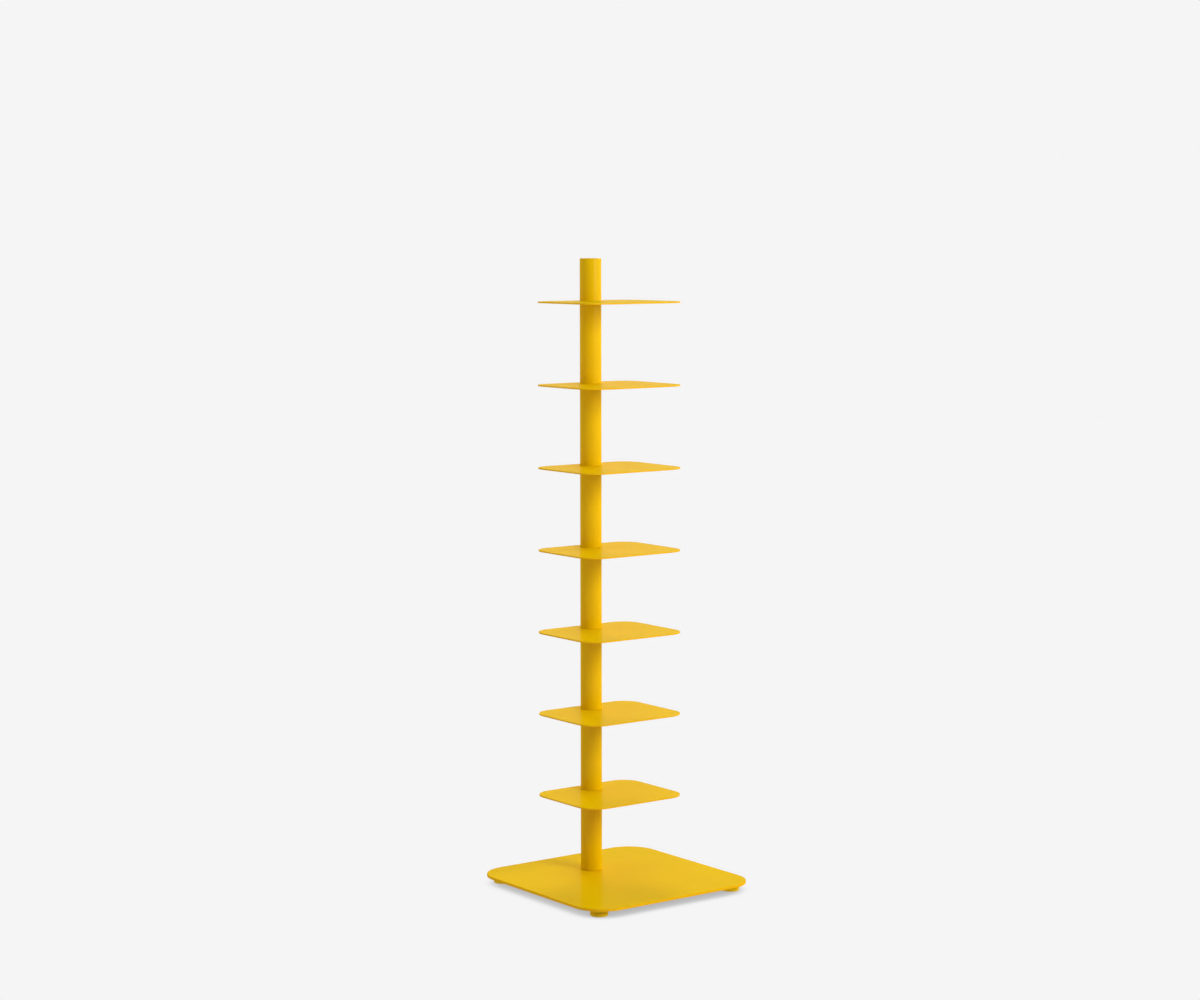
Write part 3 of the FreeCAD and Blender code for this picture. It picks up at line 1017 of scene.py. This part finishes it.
class BOOKSHELF_OT_screws(bpy.types.Operator):
    """Build the screws and washers under the base, and finish the plug they hold"""

    bl_idname = "bookshelf.screws"
    bl_label = "Base Screws"

    def execute(self, context):
        screws = context.scene.shelf_screws
        for name, single, node in (
            ("button_screws", self.screw(screws), "base_screws"),
            ("flat_washers", self.washer(screws), "base_washers"),
        ):
            piece = grow(name, "Pieces on a circle", finish("zinc_plated_steel"), {
                "Piece": single,
                "Count": screws.count,
                "Circle Radius": screws.circle,
                "Centre": tuple(COLUMN_AXIS),
            })
            settle(piece)
            soften(piece.data, THREAD_ANGLE)
            bpy.data.objects.remove(single)
            fit_piece(piece, finish("zinc_plated_steel"), "frame", [node])
        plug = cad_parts["column_plug"]
        plug.data.materials.clear()
        plug.data.materials.append(finish("zinc_plated_steel"))
        return {"FINISHED"}

    def screw(self, screws):
        """One button-head screw on the Z axis with its head down."""
        low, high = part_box("base_screws")
        seat = low.z + screws.head_height
        head = self.head(screws, low.z, seat)
        shank = grow("screw_shank", "Threaded bar", finish("zinc_plated_steel"), {
            "Radius": screws.radius,
            "Length": high.z - seat,
            "Pitch": screws.pitch,
            "Depth": screws.pitch * THREAD_DEPTH,
            "Plain Length": screws.neck,
            "Tip Bevel": screws.tip_bevel,
        })
        settle(shank)
        shank.data.transform(Matrix.Translation((0, 0, seat)))
        joined = bmesh.new()
        joined.from_mesh(head)
        joined.from_mesh(shank.data)
        mesh = bpy.data.meshes.new("button_screw")
        joined.to_mesh(mesh)
        joined.free()
        bpy.data.objects.remove(shank)
        return add_object("button_screw", mesh)

    def head(self, screws, bottom, seat):
        """Mesh of a domed head with a six-sided socket in its crown, which is at the bottom."""
        steps = SOCKET_FLATS * screws.flat_steps
        crown = screws.head_radius * HEAD_CROWN
        builder = bmesh.new()
        dome = []
        for step in range(DOME_STEPS + 1):
            turn = math.radians(90 * step / DOME_STEPS)
            radius = crown + (screws.head_radius - crown) * math.sin(turn)
            dome.append(add_ring(builder, radius, seat - (seat - bottom) * math.cos(turn), steps))
        for ring, following in zip(dome, dome[1:]):
            bridge(builder, ring, following)
        builder.faces.new(dome[-1])
        corner_radius = screws.key / math.sqrt(3)
        floor_height = bottom + screws.socket_depth
        mouth = add_ring(builder, corner_radius, bottom, SOCKET_FLATS)
        floor = add_ring(builder, corner_radius, floor_height, SOCKET_FLATS)
        deepest = add_ring(builder, 0, floor_height + screws.socket_cone, SOCKET_FLATS)
        bridge(builder, mouth, floor)
        bridge(builder, floor, deepest)
        for corner in range(SOCKET_FLATS):
            start = corner * screws.flat_steps
            rim = [dome[0][(start + step) % steps] for step in range(screws.flat_steps + 1)]
            builder.faces.new([mouth[corner], *rim, mouth[(corner + 1) % SOCKET_FLATS]])
        return square_mesh("screw_head", builder)

    def washer(self, screws):
        """One flat washer on the Z axis with a fine bevel on its lower edge."""
        low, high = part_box("base_washers")
        hole = screws.radius + screws.washer_gap
        return turned("flat_washer", [
            (hole, low.z),
            (screws.washer_radius - screws.washer_bevel, low.z),
            (screws.washer_radius, low.z + screws.washer_bevel),
            (screws.washer_radius, high.z),
            (hole, high.z),
        ], Vector((0, 0, 0)), SOCKET_FLATS * screws.flat_steps)


class BOOKSHELF_OT_studio(bpy.types.Operator):
    """Build the floor, the lamps, the sky and the camera"""

    bl_idname = "bookshelf.studio"
    bl_label = "Studio"

    def execute(self, context):
        studio = context.scene.shelf_studio
        self.floor(studio)
        self.sky(studio)
        self.lamps(studio)
        self.camera(studio)
        context.scene.view_settings.view_transform = "Standard"
        context.scene.view_settings.look = "None"
        return {"FINISHED"}

    def floor(self, studio):
        """Wide pale floor at the level that the pads stand on."""
        builder = bmesh.new()
        bmesh.ops.create_grid(builder, x_segments=1, y_segments=1, size=FLOOR_REACH)
        floor = add_object("studio_floor", square_mesh("studio_floor", builder))
        floor.location.z = CAD_LOW.z
        floor.data.materials.append(self.floor_finish(studio))

    def floor_finish(self, studio):
        """Evenly lit floor that darkens close under and beside what stands on it."""
        material = bpy.data.materials.new("studio_floor")
        maker = NodeMaker(emptied_tree(material))
        near = maker.add(
            "ShaderNodeAmbientOcclusion", {"Distance": studio.shadow_reach}, samples=FLOOR_SHADE_SAMPLES)
        covered = maker.math("SUBTRACT", 1.0, near.outputs["AO"])
        dark = maker.math("MULTIPLY", maker.math("POWER", covered, studio.shadow_fall), studio.shadow_depth)
        shade = maker.math("SUBTRACT", 1.0, dark)
        seen = maker.out("ShaderNodeEmission", {"Color": (*studio.backdrop, 1.0), "Strength": shade})
        glow = maker.out("ShaderNodeEmission", {"Color": WHITE, "Strength": studio.floor_light})
        maker.add("ShaderNodeOutputMaterial", {"Surface": self.for_camera(maker, glow, seen)})
        return material

    def sky(self, studio):
        """Even light from all round, and the backdrop's colour where the camera sees past the floor."""
        world = bpy.data.worlds.new("studio_sky")
        bpy.context.scene.world = world
        maker = NodeMaker(emptied_tree(world))
        light = maker.out("ShaderNodeBackground", {"Color": WHITE, "Strength": studio.sky_light})
        behind = maker.out("ShaderNodeBackground", {"Color": (*studio.backdrop, 1.0), "Strength": 1.0})
        maker.add("ShaderNodeOutputWorld", {"Surface": self.for_camera(maker, light, behind)})

    def for_camera(self, maker, light, seen):
        """One shader for the light that is thrown on pieces, and another for what the camera sees."""
        camera_ray = maker.add("ShaderNodeLightPath").outputs["Is Camera Ray"]
        return maker.out("ShaderNodeMixShader", {0: camera_ray, 1: light, 2: seen})

    def lamps(self, studio):
        """Soft boxes near by and soft lamps far away, all aimed at the column."""
        aim = COLUMN_AXIS + Vector((0, 0, CAD_HIGH.z / 2))
        for name, azimuth, distance, height, width, power in SOFT_BOXES:
            data = bpy.data.lights.new(name, "AREA")
            data.shape = "SQUARE"
            data.size = width
            data.energy = power * studio.lamp_light
            place = COLUMN_AXIS + self.towards(azimuth, 0) * distance + Vector((0, 0, height))
            self.hang(name, data, place, place - aim)
        for name, azimuth, elevation, spread, strength in FAR_LAMPS:
            data = bpy.data.lights.new(name, "SUN")
            data.angle = math.radians(spread)
            data.energy = strength * studio.lamp_light
            back = self.towards(azimuth, elevation)
            self.hang(name, data, back * FAR_LAMP_PLACE, back)

    def towards(self, azimuth, elevation):
        """Direction of these angles, in degrees. Azimuth 0 is in front, 90 on the right."""
        turn = math.radians(azimuth)
        rise = math.radians(elevation)
        level = math.cos(rise)
        return Vector((math.sin(turn) * level, -math.cos(turn) * level, math.sin(rise)))

    def hang(self, name, data, place, back):
        """Puts a lamp at its place with its back turned this way."""
        lamp = add_object(name, data)
        lamp.visible_camera = False
        lamp.location = place
        lamp.rotation_euler = back.to_track_quat("Z", "Y").to_euler()

    def camera(self, studio):
        """The camera, in front on the left and a little above the top."""
        data = bpy.data.cameras.new("studio_camera")
        data.sensor_width = SENSOR_WIDTH
        data.lens = studio.camera_lens
        data.shift_y = studio.camera_shift
        data.clip_end = CAMERA_REACH
        camera = add_object("studio_camera", data)
        turn = Matrix.Rotation(studio.camera_heading, 4, "Z")
        tilt = Matrix.Rotation(math.pi / 2 + studio.camera_pitch, 4, "X")
        roll = Matrix.Rotation(studio.camera_roll, 4, "Z")
        camera.matrix_world = Matrix.Translation(studio.camera_place) @ turn @ tilt @ roll
        bpy.context.scene.camera = camera


class BOOKSHELF_PT_panel(bpy.types.Panel):
    """The bookshelf's operators and sizes in the sidebar"""

    bl_idname = "BOOKSHELF_PT_panel"
    bl_label = "Spine Bookshelf"
    bl_space_type = "VIEW_3D"
    bl_region_type = "UI"
    bl_category = "Bookshelf"

    def draw(self, context):
        layout = self.layout
        for operator in OPERATORS:
            layout.operator(operator.bl_idname)
        for name, group in GROUPS.items():
            box = layout.box()
            for field in group.__annotations__:
                box.prop(getattr(context.scene, name), field)


OPERATORS = (
    BOOKSHELF_OT_studio,
    BOOKSHELF_OT_base,
    BOOKSHELF_OT_column,
    BOOKSHELF_OT_shelves,
    BOOKSHELF_OT_welds,
    BOOKSHELF_OT_feet,
    BOOKSHELF_OT_screws,
)
GROUPS = {
    "shelf_plates": PlateSizes,
    "shelf_column": ColumnSizes,
    "shelf_feet": FootSizes,
    "shelf_screws": ScrewSizes,
    "shelf_coat": CoatLook,
    "shelf_studio": StudioLook,
}


def register():
    """Registers the classes and hangs the groups on the scene."""
    for name, group in GROUPS.items():
        bpy.utils.register_class(group)
        setattr(bpy.types.Scene, name, bpy.props.PointerProperty(type=group))
    for operator in OPERATORS:
        bpy.utils.register_class(operator)
    bpy.utils.register_class(BOOKSHELF_PT_panel)


def unregister():
    """Takes the classes and groups away again."""
    bpy.utils.unregister_class(BOOKSHELF_PT_panel)
    for operator in reversed(OPERATORS):
        bpy.utils.unregister_class(operator)
    for name, group in GROUPS.items():
        delattr(bpy.types.Scene, name)
        bpy.utils.unregister_class(group)


def main():
    """Builds every piece and the studio."""
    register()
    bpy.ops.bookshelf.studio()
    bpy.ops.bookshelf.base()
    bpy.ops.bookshelf.column()
    bpy.ops.bookshelf.shelves()
    bpy.ops.bookshelf.welds()
    bpy.ops.bookshelf.feet()
    bpy.ops.bookshelf.screws()


if __name__ == "__main__":
    main()
